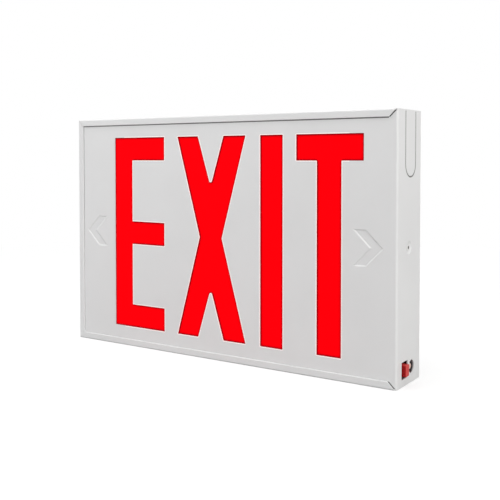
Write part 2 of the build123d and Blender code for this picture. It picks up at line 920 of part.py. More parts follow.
def battery_clip():
    """Spring steel strap over the battery, welded to the panel at its feet."""
    radius = cell_radius + battery_wrap
    half = cell_count * cell_radius + battery_wrap + clip_gap
    rise = 2 * radius + clip_gap
    outer = half + clip_sheet
    crown = rise + clip_sheet
    section = Pos(-crown / 2, 0) * Rectangle(crown, 2 * outer)
    section = fillet(section.vertices().filter_by(lambda v: v.X < -1), clip_bend)
    hollow = Pos(-rise / 2, 0) * Rectangle(rise, 2 * half)
    hollow = fillet(hollow.vertices().filter_by(lambda v: v.X < -1), clip_bend - clip_sheet)
    section -= hollow
    for side in (-1, 1):
        section += Pos(-clip_sheet / 2, side * (outer + clip_foot / 2 - clip_sheet / 2)) * Rectangle(
            clip_sheet, clip_foot + clip_sheet)
    place = Plane.YZ.offset(battery_x) * Pos(panel_face, battery_z)
    return extrude(place * section, clip_width / 2, both=True)


# Test switch, button and lamp

def switch_bracket():
    """Angle that carries the switch and the lamp behind the end panel."""
    foot_face = -inner_top
    foot_end = bracket_x - bracket_foot
    plate_end = bracket_x + bracket_sheet
    plate_top = foot_face + bracket_height
    profile = make_face(Polyline(
        (foot_end, foot_face), (plate_end, foot_face), (plate_end, plate_top), (bracket_x, plate_top),
        (bracket_x, foot_face + bracket_sheet), (foot_end, foot_face + bracket_sheet), close=True))
    profile = fillet(vertex_at(profile, plate_end, foot_face), housing_bend)
    profile = fillet(vertex_at(profile, bracket_x, foot_face + bracket_sheet), housing_bend - bracket_sheet)
    rear = lamp_y + bracket_rear_margin
    forward = button_y - bracket_front_margin
    bracket = extrude(Plane.XZ.offset(-rear) * profile, rear - forward)
    through = (bracket_x - sheet, plate_end + sheet)
    bracket -= block(through, around(button_y, collar_width + 2 * hole_gap),
                     around(button_z, collar_height + 2 * hole_gap))
    return bracket - rod_x(through, lamp_y, lamp_z, lamp_neck_radius + hole_gap)


def test_switch():
    """Switch body behind the bracket, with a collar through it and a bore for the plunger."""
    body = block((bracket_x - switch_length, bracket_x), around(button_y, switch_width),
                 around(button_z, switch_height))
    body = chamfer(body.edges().filter_by(Axis.X), switch_edge)
    body += block((bracket_x - overlap, collar_end), around(button_y, collar_width),
                  around(button_z, collar_height))
    bore = stem_width + 2 * stem_gap
    body -= block((stem_root - button_travel - stem_gap, collar_end + sheet), around(button_y, bore),
                  around(button_z, bore))
    return body


def switch_plunger():
    """Square plunger from the switch into the back of the button."""
    return block((stem_root, button_root + stem_socket), around(button_y, stem_width),
                 around(button_z, stem_width))


def test_button():
    """Red push button that stands out of the window in the end panel."""
    cap = block((button_root, button_end), around(button_y, button_width), around(button_z, button_height))
    outer_edges = cap.edges().filter_by(lambda e: (e @ 0.5).X > button_root + near)
    cap = fillet(outer_edges, button_corner)
    socket = stem_width + 2 * stem_fit
    return cap - block((button_root - sheet, button_root + stem_socket), around(button_y, socket),
                       around(button_z, socket))


def button_spring():
    """Return spring round the plunger, between the switch collar and the button."""
    rest_length = button_root - collar_end - spring_wire - 2 * spring_end_gap
    start = collar_end + spring_wire / 2 + spring_end_gap
    path = Helix(pitch=rest_length / spring_turns, height=rest_length, radius=spring_radius,
                 center=(start, button_y, button_z), direction=(1, 0, 0))
    section = Plane(origin=path @ 0, z_dir=path % 0) * Circle(spring_wire / 2)
    return sweep(section, path=path)


def lamp_holder():
    """Black holder whose open front stands just behind the round hole."""
    front_x = end_inner - lamp_holder_setback
    plate_end = bracket_x + bracket_sheet
    body = rod_x((plate_end, front_x), lamp_y, lamp_z, lamp_holder_radius)
    neck_end = bracket_x - lamp_neck_length
    body += rod_x((neck_end, plate_end + overlap), lamp_y, lamp_z, lamp_neck_radius)
    mouth = lamp_holder_radius - lamp_holder_wall
    body -= rod_x((lamp_seat + lamp_step, front_x + sheet), lamp_y, lamp_z, mouth)
    body -= rod_x((lamp_seat, front_x + sheet), lamp_y, lamp_z, lamp_radius + lamp_fit)
    return body - rod_x((neck_end - sheet, front_x), lamp_y, lamp_z, lamp_radius - lamp_shoulder)


def lamp_nut():
    """Ring nut that clamps the lamp holder to the bracket."""
    ring = rod_x((bracket_x - lamp_nut_thickness, bracket_x), lamp_y, lamp_z, lamp_nut_radius)
    return ring - rod_x((bracket_x - 2 * lamp_nut_thickness, bracket_x + sheet), lamp_y, lamp_z,
                        lamp_neck_radius + thread_gap)


def status_lamp():
    """Indicator lamp: a stem in its holder and a domed head that fills the mouth and looks out of the hole."""
    head_radius = lamp_holder_radius - lamp_holder_wall - lamp_fit
    head_root = lamp_seat + lamp_step
    dome = end_inner + lamp_reach - head_radius
    body = rod_x((lamp_seat, head_root + overlap), lamp_y, lamp_z, lamp_radius)
    body += rod_x((head_root, dome), lamp_y, lamp_z, head_radius)
    return body + Pos(dome, lamp_y, lamp_z) * Sphere(head_radius)


# Cover screw

def cover_screw():
    """Recessed screw in the dimple of the end panel."""
    seat = right - dimple_depth
    head = rod_x((seat, seat + screw_head_height), screw_y, screw_z, screw_head_radius)
    head = fillet(edges_at_x(head, seat + screw_head_height), screw_head_edge)
    shank = rod_x((seat - screw_length, seat + overlap), screw_y, screw_z, screw_shank_radius)
    recess_floor = seat + screw_head_height - screw_recess_depth
    recess = (recess_floor, right)
    slots = block(recess, around(screw_y, 2 * screw_recess_radius), around(screw_z, screw_slot))
    slots += block(recess, around(screw_y, screw_slot), around(screw_z, 2 * screw_recess_radius))
    return head + chamfer(edges_at_x(shank, seat - screw_length), screw_shank_radius / 3) - slots


def edges_at_x(part, x):
    """Edges that lie in one plane across X."""
    return part.edges().filter_by(lambda e: abs((e @ 0).X - x) + abs((e @ 0.5).X - x) < near)


def weld_nut():
    """Square nut welded behind the screw tab."""
    face = flange_x - sheet
    rear = face - weld_nut_thickness
    nut = block((rear, face), around(screw_y, weld_nut_size), around(screw_z, weld_nut_size))
    return nut - rod_x((rear - sheet, face + sheet), screw_y, screw_z, screw_shank_radius + thread_gap)


# Leads inside the housing

def lead(points):
    """Tube of straight runs and arcs as large as the runs allow."""
    spots = [Vector(*p) for p in points]
    radii = []
    for before, here, after in zip(spots, spots[1:], spots[2:]):
        arriving = here - before
        leaving = after - here
        turn = math.radians(arriving.get_angle(leaving))
        radii.append(bend_share * min(arriving.length, leaving.length) / math.tan(turn / 2))
    length = sum((b - a).length for a, b in zip(spots, spots[1:]))
    print("lead radii", [round(r, 1) for r in radii], "length", round(length))
    path = FilletPolyline(*spots, radius=radii)
    tube = sweep(Plane(origin=path @ 0, z_dir=path % 0) * Circle(lead_radius), path=path)
    print("tube volume share", round(tube.volume / (math.pi * lead_radius ** 2 * path.length), 4))
    return tube


def stepped(start, steps):
    """Points at these steps from one place."""
    return [tuple(a + b for a, b in zip(start, step)) for step in steps]


def battery_lead():
    """From the end of the battery pack to its plug on the board's left edge."""
    start = (battery_end, panel_face - cell_radius - battery_wrap, battery_z)
    end = (board_left - plug_reach, plug_y, board_top + battery_header_z)
    return lead([start, *stepped(start, battery_lead_steps), (end[0] - battery_lead_in, *end[1:]), end])


def upper_strip_lead():
    """From the board's upper edge, behind the tray and over it to the end of the strip."""
    start = (strip_lead_x, plug_y, board_top + plug_reach)
    over_tray = stepped((strip_pad_x, plug_y, strip_middle_z), upper_lead_end_steps)
    end = (strip_pad_x, strip_edge_y, strip_middle_z)
    return lead([start, *stepped(start, upper_lead_steps), *over_tray, end])


def lower_strip_lead():
    """From the board's lower edge, under the tray to the end of the strip."""
    start = (strip_lead_x, plug_y, board_bottom - plug_reach)
    under_tray = stepped((strip_pad_x, plug_y, -strip_middle_z), lower_lead_end_steps)
    end = (strip_pad_x, strip_edge_y, -strip_middle_z)
    return lead([start, *stepped(start, lower_lead_steps), *under_tray, end])


def switch_lead():
    """From the board's right edge, round the tray to the top of the switch."""
    start = (board_right + plug_reach, plug_y, test_plug_z + lead_pitch / 2)
    end = (bracket_x - switch_length / 2, button_y, button_z + switch_height / 2)
    return lead([start, (start[0] + switch_lead_out, *start[1:]), *stepped(end, switch_lead_steps), end])


def lamp_lead():
    """From the board's right edge into the neck of the lamp holder."""
    start = (board_right + plug_reach, plug_y, test_plug_z - lead_pitch / 2)
    around_switch = stepped((bracket_x, lamp_y, lamp_z), lamp_lead_steps)
    end = (lamp_seat, lamp_y, lamp_z)
    return lead([start, (start[0] + lamp_lead_out, *start[1:]), *around_switch, end])


def nodes():
    """Every piece of the sign by its name."""
    parts = {
        "housing_shell": housing_shell(),
        "cover": cover(),
        "lens_panel": lens_panel(),
        "reflector_tray": reflector_tray(),
        "tray_posts": group(tray_post_places(), post(tray_stand)),
        "tray_screws": group(tray_screw_places(), small_screw()),
        "charger_board": charger_board(),
        "board_posts": group(board_places(panel_face), post(board_stand)),
        "board_screws": group(board_places(board_face), small_screw()),
        "transformer_core": transformer_core(),
        "transformer_coil": transformer_coil(),
        "smoothing_capacitor": on_board(capacitor_x, capacitor_z) * can_capacitor(
            capacitor_radius, capacitor_height),
        "timing_capacitor": on_board(capacitor_x, small_capacitor_z) * can_capacitor(
            small_capacitor_radius, small_capacitor_height),
        "terminal_block": terminal_block(),
        "regulator": regulator(),
        "board_fuse": fuse_body(),
        "battery_pack": battery_pack(),
        "battery_clip": battery_clip(),
        "switch_bracket": switch_bracket(),
        "test_switch": test_switch(),
        "switch_plunger": switch_plunger(),
        "test_button": test_button(),
        "button_spring": button_spring(),
        "lamp_holder": lamp_holder(),
        "lamp_nut": lamp_nut(),
        "status_lamp": status_lamp(),
        "cover_screw": cover_screw(),
        "weld_nut": weld_nut(),
        "battery_lead": battery_lead(),
        "upper_strip_lead": upper_strip_lead(),
        "lower_strip_lead": lower_strip_lead(),
        "switch_lead": switch_lead(),
        "lamp_lead": lamp_lead(),
    }
    for name, side in (("upper", 1), ("lower", -1)):
        parts[name + "_led_strip"] = led_strip(side)
        parts[name + "_led_chips"] = led_chips(side)
        parts[name + "_strip_posts"] = strip_posts(side)
        parts[name + "_strip_screws"] = strip_screws(side)
    for name, place in header_places().items():
        parts[name + "_header"] = place * header()
        parts[name + "_plug"] = place * plug()
    return parts


if __name__ == "__main__":
    os.makedirs("parts", exist_ok=True)
    for name, solid in nodes().items():
        export_step(solid, "parts/" + name + ".step")
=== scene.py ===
import bpy
import bmesh
import math
from mathutils import Matrix, Vector


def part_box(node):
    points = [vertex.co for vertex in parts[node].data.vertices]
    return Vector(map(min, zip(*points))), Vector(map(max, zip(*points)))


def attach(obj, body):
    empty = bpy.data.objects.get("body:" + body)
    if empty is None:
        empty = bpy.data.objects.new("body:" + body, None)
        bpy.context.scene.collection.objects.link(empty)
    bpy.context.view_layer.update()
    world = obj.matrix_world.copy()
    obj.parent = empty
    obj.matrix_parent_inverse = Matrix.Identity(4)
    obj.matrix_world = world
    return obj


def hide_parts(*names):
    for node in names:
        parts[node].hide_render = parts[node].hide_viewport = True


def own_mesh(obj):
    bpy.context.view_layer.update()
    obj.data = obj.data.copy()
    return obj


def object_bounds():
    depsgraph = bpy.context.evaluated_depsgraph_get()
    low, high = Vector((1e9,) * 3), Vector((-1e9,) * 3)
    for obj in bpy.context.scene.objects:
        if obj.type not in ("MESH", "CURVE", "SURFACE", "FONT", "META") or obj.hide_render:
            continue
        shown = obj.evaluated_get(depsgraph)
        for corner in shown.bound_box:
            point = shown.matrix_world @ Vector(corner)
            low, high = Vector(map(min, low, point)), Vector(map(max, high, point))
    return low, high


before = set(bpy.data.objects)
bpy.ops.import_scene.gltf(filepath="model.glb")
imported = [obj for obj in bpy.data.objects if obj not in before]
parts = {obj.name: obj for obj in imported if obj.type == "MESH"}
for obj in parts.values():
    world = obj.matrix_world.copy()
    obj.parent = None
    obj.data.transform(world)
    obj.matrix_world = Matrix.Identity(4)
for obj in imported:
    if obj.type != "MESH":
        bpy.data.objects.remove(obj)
cadLow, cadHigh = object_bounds()
scene = bpy.context.scene
mm = 0.001
perMetre = 1000.0       # millimetres
creaseAngle = 35        # degrees, sharper edges stay hard
print("exit light: frame loaded,", len(parts), "nodes")


# Camera, fitted to the edges of the sign in the photo
cameraView = {
    "sensor": 36.0,
    "lens": 56.84,
    "shiftUp": -0.1317,
    "place": (0.4567, -0.6887, 0.0781),
    "tiltDown": 1.78,      # degrees
    "turn": 33.32,
    "near": 0.01,
    "far": 50.0,
}


def makeCamera():
    data = bpy.data.cameras.new("photoCamera")
    data.sensor_width = cameraView["sensor"]
    data.lens = cameraView["lens"]
    data.shift_y = cameraView["shiftUp"]
    data.clip_start = cameraView["near"]
    data.clip_end = cameraView["far"]
    camera = bpy.data.objects.new("photoCamera", data)
    camera.location = cameraView["place"]
    tilt = math.radians(90 - cameraView["tiltDown"])
    camera.rotation_euler = (tilt, 0, math.radians(cameraView["turn"]))
    scene.collection.objects.link(camera)
    scene.camera = camera


makeCamera()
print("camera placed")


# Shader maths: a wire wraps one socket, and sums on wires add Math nodes
class Wire:
    def __init__(self, finish, socket):
        self.finish = finish
        self.socket = socket

    def math(self, operation, *values):
        return self.finish.node("ShaderNodeMath", {"operation": operation}, dict(enumerate(values)))

    def __add__(self, other):
        return self.math("ADD", self, other)

    def __sub__(self, other):
        return self.math("SUBTRACT", self, other)

    def __rsub__(self, other):
        return self.math("SUBTRACT", other, self)

    def __mul__(self, other):
        return self.math("MULTIPLY", self, other)

    def __truediv__(self, other):
        return self.math("DIVIDE", self, other)

    def __gt__(self, other):
        return self.math("GREATER_THAN", self, other)

    def __lt__(self, other):
        return self.math("LESS_THAN", self, other)

    def __or__(self, other):
        return self.math("MAXIMUM", self, other)

    def __abs__(self):
        return self.math("ABSOLUTE", self)

    __radd__ = __add__
    __rmul__ = __mul__

    def wave(self):
        return self.math("SINE", self)

    def root(self):
        return self.math("SQRT", self)

    def fold(self, period):
        # distance to the nearest multiple of the period
        return self.math("PINGPONG", self, period / 2)

    def ease(self, start, end):
        # 0 at start, 1 at end, smooth between
        ends = {"Value": self, "From Min": start, "From Max": end}
        return self.finish.node("ShaderNodeMapRange", {"interpolation_type": "SMOOTHSTEP"}, ends)


class Finish:
    def __init__(self, name, library=None):
        self.material = (bpy.data.materials if library is None else library).new(name)
        self.material.use_nodes = True
        self.tree = self.material.node_tree
        self.tree.nodes.clear()
        self.spot = None

    def node(self, kind, settings, sockets, output=0):
        made = self.tree.nodes.new(kind)
        for name, value in settings.items():
            setattr(made, name, value)
        for name, value in sockets.items():
            if isinstance(value, Wire):
                self.tree.links.new(value.socket, made.inputs[name])
            else:
                made.inputs[name].default_value = value
        return Wire(self, made.outputs[output]) if made.outputs else made

    def place(self):
        if self.spot is None:
            self.spot = self.node("ShaderNodeTexCoord", {}, {}, "Object")
        return self.spot

    def axis(self, name):
        # coordinate along X, Y or Z in millimetres
        return self.node("ShaderNodeSeparateXYZ", {}, {"Vector": self.place()}, name) * perMetre

    def fromMiddle(self, part, name):
        # the same, counted from the middle of a CAD piece
        return self.axis(name) - middle(part)["XYZ".index(name)]

    def normal(self, name):
        facing = self.node("ShaderNodeNewGeometry", {}, {}, "True Normal")
        return self.node("ShaderNodeSeparateXYZ", {}, {"Vector": facing}, name)

    def noise(self, size, detail=2.0, stretch=(1.0, 1.0, 1.0)):
        # soft random value in patches of this size in millimetres
        spread = self.node("ShaderNodeMapping", {}, {"Vector": self.place(), "Scale": stretch})
        sockets = {"Vector": spread, "Scale": perMetre / size, "Detail": detail}
        return self.node("ShaderNodeTexNoise", {}, sockets)

    def between(self, factor, first, second):
        # a colour's factor and ends are sockets 0, 6 and 7, and its result is output 2
        shades = [color if isinstance(color, Wire) else (*color, 1) for color in (first, second)]
        return self.node("ShaderNodeMix", {"data_type": "RGBA"}, {0: factor, 6: shades[0], 7: shades[1]}, 2)

    def corners(self, reach, **settings):
        # 1 in the open, less where other faces stand within the reach in millimetres
        settings = {"samples": 8, **settings}
        return self.node("ShaderNodeAmbientOcclusion", settings, {"Distance": reach * mm}, "AO")

    def relief(self, height, depth):
        # height from 0 to 1 as a bump of this depth in millimetres
        sockets = {"Height": height, "Distance": depth * mm, "Strength": 1.0}
        return self.node("ShaderNodeBump", {}, sockets)

    def surface(self, color, roughness, **others):
        sockets = {"Base Color": color if isinstance(color, Wire) else (*color, 1), "Roughness": roughness}
        names = {
            "metallic": "Metallic",
            "bump": "Normal",
            "glow": "Emission Color",
            "glowStrength": "Emission Strength",
            "coat": "Coat Weight",
            "coatRoughness": "Coat Roughness",
            "shine": "Specular IOR Level",
        }
        for name, value in others.items():
            sockets[names[name]] = value
        shader = self.node("ShaderNodeBsdfPrincipled", {}, sockets)
        self.node("ShaderNodeOutputMaterial", {}, {"Surface": shader})
        return self.material


def dress(material, *names):
    for name in names:
        slots = parts[name].data.materials
        for index in range(len(slots)):
            slots[index] = material


def middle(name):
    # centre of a CAD piece in millimetres
    low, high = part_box(name)
    return [(a + b) / 2 / mm for a, b in zip(low, high)]


def darker(color, share):
    return tuple(channel * share for channel in color)


# Sprayed enamel on the folded sheets
enamel = {
    "color": (0.797, 0.800, 0.803),
    "thin": (0.780, 0.783, 0.786),      # where the coat is a little thinner
    "patch": 60.0,
    "thinFrom": 0.35,
    "thinTo": 0.7,
    "peelSize": 1.6,
    "peelDepth": 0.004,
    "roughness": 0.45,
    "roughnessSpread": 0.06,
    "faceBehind": 1.3,      # the stencil's face, behind the lips
    "slack": 0.1,
}
letterEdge = {
    "paintedEdgeHighlight": (0.99, 0.96, 0.95),          # painted highlight: a pale ring on the face along the cut, where the edge catches light
    "highlightReach": 0.95,
    "highlightFull": 0.87,
    "paintedGlow": (1.0, 0.55, 0.46),          # painted glow: emission standing in for the lens's red light on that edge
    "paintedGlowStrength": 0.2,
    "cut": (0.42, 0.03, 0.028),         # cut edge: painted red light and shade, dark red standing in for the lens's light on it
    "coatDepth": 0.4,                   # how far the coat goes round into it
    "sideMargin": 20.0,
    "topMargin": 12.0,
}
knockout = {
    "wall": (0.05, 0.049, 0.048),       # painted shade: near black on the walls of the sheared line
    "paintedGrooveEdgeShade": (0.42, 0.42, 0.41),        # painted shade: a grey band along the edges of the sheared line
    "grooveShadeFrom": 0.96,
    "grooveShadeTo": 0.75,
    "depth": 0.85,
    "skin": 0.02,
    "low": 58.0,
    "high": 1.2,            # below the top
    "front": -40.0,
    "back": -6.0,
}
# painted shadow under the lips: a dark line on the face
paintedLipShadow = {
    "color": (0.13, 0.13, 0.13),
    "lipWidth": 7.1,
    "width": 0.9,
    "hidden": 0.3,          # how far it goes in under the lip
    "leftShare": 0.6,
    "leftLow": -60.0,
    "leftHigh": 130.0,
    "leftStrength": 0.5,
    "mitreAcross": 8.4,     # from the right face to the lip's end, at the outer edge 1.3
    "mitreShare": 1.5,
    "bend": 0.5,
}


def sprayedEnamel():
    finish = Finish("sprayedEnamel")
    thin = finish.noise(enamel["patch"], 3.0).ease(enamel["thinFrom"], enamel["thinTo"])
    color = finish.between(thin, enamel["color"], enamel["thin"])
    x, y, z = (finish.axis(name) for name in "XYZ")
    faceFront = cadLow.y / mm + enamel["faceBehind"]
    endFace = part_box("cover")[1].x / mm
    top = cadHigh.z / mm

    # edges of the letters
    lensLow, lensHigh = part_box("lens_panel")
    letters = (y < lensLow.y / mm + enamel["slack"] / 2) * (y > faceFront - enamel["slack"])
    letters = letters * (x > lensLow.x / mm + letterEdge["sideMargin"])
    letters = letters * (x < lensHigh.x / mm - letterEdge["sideMargin"])
    letters = letters * (abs(z) < lensHigh.z / mm - letterEdge["topMargin"])
    edge = finish.corners(letterEdge["highlightReach"], inside=True, only_local=True)
    # painted highlight: the face within reach of a cut edge is made paler
    highlightRing = letters * edge.ease(1.0, letterEdge["highlightFull"])
    color = finish.between(highlightRing, color, letterEdge["paintedEdgeHighlight"])
    # painted red light and shade: the cut walls behind the coat are made dark red
    cut = letters * (abs(finish.normal("Y")) < 0.4) * (y > faceFront + letterEdge["coatDepth"])
    color = finish.between(cut, color, letterEdge["cut"])
    # painted glow: the highlight ring also emits a pink light
    paintedGlow = finish.between(highlightRing * (1.0 - cut), (0.0, 0.0, 0.0), letterEdge["paintedGlow"])

    # line of the knock-out in the end panel, with painted shade on its walls and a grey painted shade band
    # along its edges
    sheared = (x > endFace - knockout["depth"]) * (z > knockout["low"]) * (z < top - knockout["high"])
    sheared = sheared * (y > knockout["front"]) * (y < knockout["back"])
    # painted shade: grey on the end panel close to the groove's edges
    paintedGrooveEdgeShade = sheared * edge.ease(knockout["grooveShadeFrom"], knockout["grooveShadeTo"])
    color = finish.between(paintedGrooveEdgeShade, color, knockout["paintedGrooveEdgeShade"])
    # painted shade: the groove's walls go near black
    color = finish.between(sheared * (x < endFace - knockout["skin"]), color, knockout["wall"])

    # painted shadow: a dark line on the face along the upper lip, the left lip and the two mitred ends
    width = paintedLipShadow["width"]
    face = (abs(y - faceFront) < enamel["slack"]) * (x < endFace - paintedLipShadow["bend"])
    lipEdge = top - paintedLipShadow["lipWidth"]
    lipEnd = endFace - paintedLipShadow["mitreAcross"]
    upper = (z > lipEdge - width) * (z < lipEdge + paintedLipShadow["hidden"]) * (x < lipEnd)
    leftEdge = cadLow.x / mm + paintedLipShadow["lipWidth"]
    left = (x < leftEdge + width * paintedLipShadow["leftShare"]) * (x > leftEdge - paintedLipShadow["hidden"])
    left = left * z.ease(paintedLipShadow["leftLow"], paintedLipShadow["leftHigh"]) * paintedLipShadow["leftStrength"]
    across = x - abs(z) - (lipEnd - lipEdge)
    mitre = (abs(z) > lipEdge) * (across > -paintedLipShadow["hidden"]) * (across < width * paintedLipShadow["mitreShare"])
    # painted shadow: the face goes dark in the strips beside the lips
    color = finish.between(face * (upper | left | mitre), color, paintedLipShadow["color"])

    peel = finish.noise(enamel["peelSize"], 1.0)
    roughness = peel * enamel["roughnessSpread"] + enamel["roughness"]
    return finish.surface(color, roughness, coat=0.06, coatRoughness=0.3, shine=0.35,
                          glow=paintedGlow, glowStrength=letterEdge["paintedGlowStrength"],
                          bump=finish.relief(peel, enamel["peelDepth"]))


dress(sprayedEnamel(), "housing_shell", "cover")
print("enamel sprayed")


# Red diffuser, lit from behind by the two strips
lens = {
    "base": (0.96, 0.0, 0.003),
    "glow": (1.0, 0.0, 0.003),
    "dim": (0.94, 0.0, 0.002),         # half way between the strips
    "strength": 0.30,
    "corner": (0.26, 0.0, 0.004),      # painted shade: colour and glow darken in the corner against the stencil's cut edge
    "shadeReach": 3.0,
    "shadeFrom": 0.78,
    "pebble": 0.9,
    "pebbleDepth": 0.02,
    "roughness": 0.5,
}


def litLens():
    finish = Finish("litLens")
    toStrip = abs(finish.axis("Z")).ease(0.0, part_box("lens_panel")[1].z / mm)
    glow = finish.between(toStrip, lens["dim"], lens["glow"])
    pebble = finish.noise(lens["pebble"], 1.0)
    color = finish.between(pebble, lens["base"], darker(lens["base"], 0.95))
    # painted shade: colour and glow go darker where the stencil's walls stand close
    clear = finish.corners(lens["shadeReach"]).ease(lens["shadeFrom"], 1.0)
    color = finish.between(clear, lens["corner"], color)
    glow = finish.between(clear, lens["corner"], glow)
    return finish.surface(color, pebble * 0.1 + lens["roughness"], shine=0.01,
                          glow=glow, glowStrength=lens["strength"],
                          bump=finish.relief(pebble, lens["pebbleDepth"]))


dress(litLens(), "lens_panel")
print("lens lit")


# White reflector tray, smoother than the housing
tray = {"color": (0.86, 0.86, 0.85), "shade": 0.96, "roughness": 0.3, "patch": 35.0}


def reflectorWhite():
    finish = Finish("reflectorWhite")
    cloud = finish.noise(tray["patch"], 3.0)
    color = finish.between(cloud, tray["color"], darker(tray["color"], tray["shade"]))
    return finish.surface(color, cloud * 0.1 + tray["roughness"], coat=0.3, coatRoughness=0.2)


dress(reflectorWhite(), "reflector_tray")


# Zinc plate on brackets, posts, screws and nuts
zinc = {
    "bright": (0.66, 0.66, 0.65),
    "milky": (0.52, 0.53, 0.55),
    "grain": 0.6,
    "grainDepth": 0.003,
    "spangle": 5.0,
    "roughness": 0.32,
    "roughnessSpread": 0.25,
}


def zincPlate(name, stretch):
    finish = Finish(name)
    spangle = finish.noise(zinc["spangle"], 2.0)
    grain = finish.noise(zinc["grain"], 2.0, stretch)
    color = finish.between(spangle.ease(0.3, 0.7), zinc["bright"], zinc["milky"])
    roughness = grain * zinc["roughnessSpread"] + zinc["roughness"]
    return finish.surface(color, roughness, metallic=1.0, bump=finish.relief(grain, zinc["grainDepth"]))


rolledZinc = zincPlate("rolledZinc", (1.0, 6.0, 1.0))
turnedZinc = zincPlate("turnedZinc", (1.0, 1.0, 1.0))
dress(rolledZinc, "battery_clip", "switch_bracket")
dress(turnedZinc, "tray_posts", "tray_screws", "board_screws", "weld_nut", "upper_strip_posts",
      "upper_strip_screws", "lower_strip_posts", "lower_strip_screws", "button_spring")


# Screws with a cross recess and a cut thread
screwKinds = {
    "cover": {
        "head": 3.2,
        "height": 1.1,
        "edge": 0.5,
        "core": 1.62,
        "crest": 1.93,
        "length": 11.0,
        "pitch": 0.8,
        "arm": 1.75,
        "slot": 0.75,
        "recess": 0.85,
        "threads": 12,
    },
    "pan": {
        "head": 2.8,
        "height": 1.8,
        "edge": 0.8,
        "core": 1.2,
        "crest": 1.43,
        "length": 5.0,
        "pitch": 0.6,
        "arm": 1.6,
        "slot": 0.7,
        "recess": 1.0,
        "threads": 7,
    },
}
screwShape = {
    "tip": 0.6,             # shares of the core
    "tipSlope": 0.5,
    "underHead": 0.1,
    "threadHalf": 0.42,     # share of the pitch
    "threadRoot": 0.05,
    "cutterTop": 1.6,       # share of the head's height
    "bladeLong": 0.55,      # taper of the recess
    "bladeWide": 0.8,
}


def turned(outline, steps=32):
    # outline of (radius, height) points spun about Z
    mesh = bmesh.new()
    points = [mesh.verts.new((radius * mm, 0, height * mm)) for radius, height in outline]
    line = [mesh.edges.new(pair) for pair in zip(points, points[1:])]
    bmesh.ops.spin(mesh, geom=points + line, cent=(0, 0, 0), axis=(0, 0, 1), angle=2 * math.pi,
                   steps=steps, use_merge=True)
    bmesh.ops.remove_doubles(mesh, verts=mesh.verts, dist=1e-6)
    bmesh.ops.recalc_face_normals(mesh, faces=mesh.faces)
    return mesh


def closeEnds(mesh):
    rims = [edge for edge in mesh.edges if edge.is_boundary]
    bmesh.ops.holes_fill(mesh, edges=rims, sides=0)


def addThread(mesh, kind, steps=20):
    # one V ridge wound up the shank
    half = kind["pitch"] * screwShape["threadHalf"]
    start = -kind["length"] + kind["pitch"]
    inside = kind["core"] - screwShape["threadRoot"]
    corners = [(inside, start - half), (kind["crest"], start), (inside, start + half)]
    points = [mesh.verts.new((radius * mm, 0, height * mm)) for radius, height in corners]
    ridge = mesh.faces.new(points)
    turns = kind["threads"]
    old = set(mesh.faces) - {ridge}
    bmesh.ops.spin(mesh, geom=[ridge, *ridge.edges, *ridge.verts], cent=(0, 0, 0), axis=(0, 0, 1),
                   angle=2 * math.pi * turns, steps=steps * turns,
                   dvec=(0, 0, kind["pitch"] * mm / steps))
    closeEnds(mesh)
    bmesh.ops.recalc_face_normals(mesh, faces=[face for face in mesh.faces if face not in old])


def crossCutter(kind):
    # two tapered blades that make the recess
    mesh = bmesh.new()
    top = kind["height"] * screwShape["cutterTop"]
    floor = kind["height"] - kind["recess"]
    for turn in (0, 90):
        blade = bmesh.ops.create_cube(mesh, size=1.0)["verts"]
        size = (2 * kind["arm"] * mm, kind["slot"] * mm, (top - floor) * mm)
        bmesh.ops.scale(mesh, vec=size, verts=blade)
        low = [vert for vert in blade if vert.co.z < 0]
        taper = (screwShape["bladeLong"], screwShape["bladeWide"], 1)
        bmesh.ops.scale(mesh, vec=taper, verts=low)
        bmesh.ops.translate(mesh, vec=(0, 0, (top + floor) / 2 * mm), verts=blade)
        around = Matrix.Rotation(math.radians(turn), 3, "Z")
        bmesh.ops.rotate(mesh, cent=(0, 0, 0), matrix=around, verts=blade)
    return mesh


def carved(body, cutter):
    # body with the cutter's blades taken out
    pair = []
    for name, mesh in (("carvedBody", body), ("carvedCutter", cutter)):
        data = bpy.data.meshes.new(name)
        mesh.to_mesh(data)
        mesh.free()
        pair.append(bpy.data.objects.new(name, data))
        scene.collection.objects.link(pair[-1])
    cut = pair[0].modifiers.new("recess", "BOOLEAN")
    cut.operation = "DIFFERENCE"
    cut.solver = "EXACT"
    cut.use_self = True
    cut.object = pair[1]
    ready = pair[0].evaluated_get(bpy.context.evaluated_depsgraph_get())
    result = bpy.data.meshes.new_from_object(ready)
    for item in pair:
        bpy.data.objects.remove(item)
    return result


def toObject(name, mesh, material):
    data = bpy.data.meshes.new(name)
    mesh.to_mesh(data)
    mesh.free()
    data.materials.clear()
    data.materials.append(material)
    data.set_sharp_from_angle(angle=math.radians(creaseAngle))
    made = bpy.data.objects.new(name, data)
    scene.collection.objects.link(made)
    return made


def screwOutline(kind):
    rim, length, core = kind["edge"], kind["length"], kind["core"]
    arc = [(kind["head"] - rim + rim * math.cos(math.radians(angle)),
            kind["height"] - rim + rim * math.sin(math.radians(angle))) for angle in (0, 30, 60, 90)]
    under = screwShape["underHead"]
    return [(0, -length), (core * screwShape["tip"], -length),
            (core, -length + core * screwShape["tipSlope"]), (core, 0), (kind["head"] - under, 0),
            (kind["head"], under), *arc, (0, kind["height"])]


def makeScrews(name, node, body, kindName, places, material):
    kind = screwKinds[kindName]
    shape = carved(turned(screwOutline(kind)), crossCutter(kind))
    mesh = bmesh.new()
    for place in places:
        single = bmesh.new()
        single.from_mesh(shape)
        addThread(single, kind)
        single.transform(place)
        data = bpy.data.meshes.new("oneScrew")
        single.to_mesh(data)
        single.free()
        mesh.from_mesh(data)
    screws = toObject(name, mesh, material)
    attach(screws, body)
    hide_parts(node)


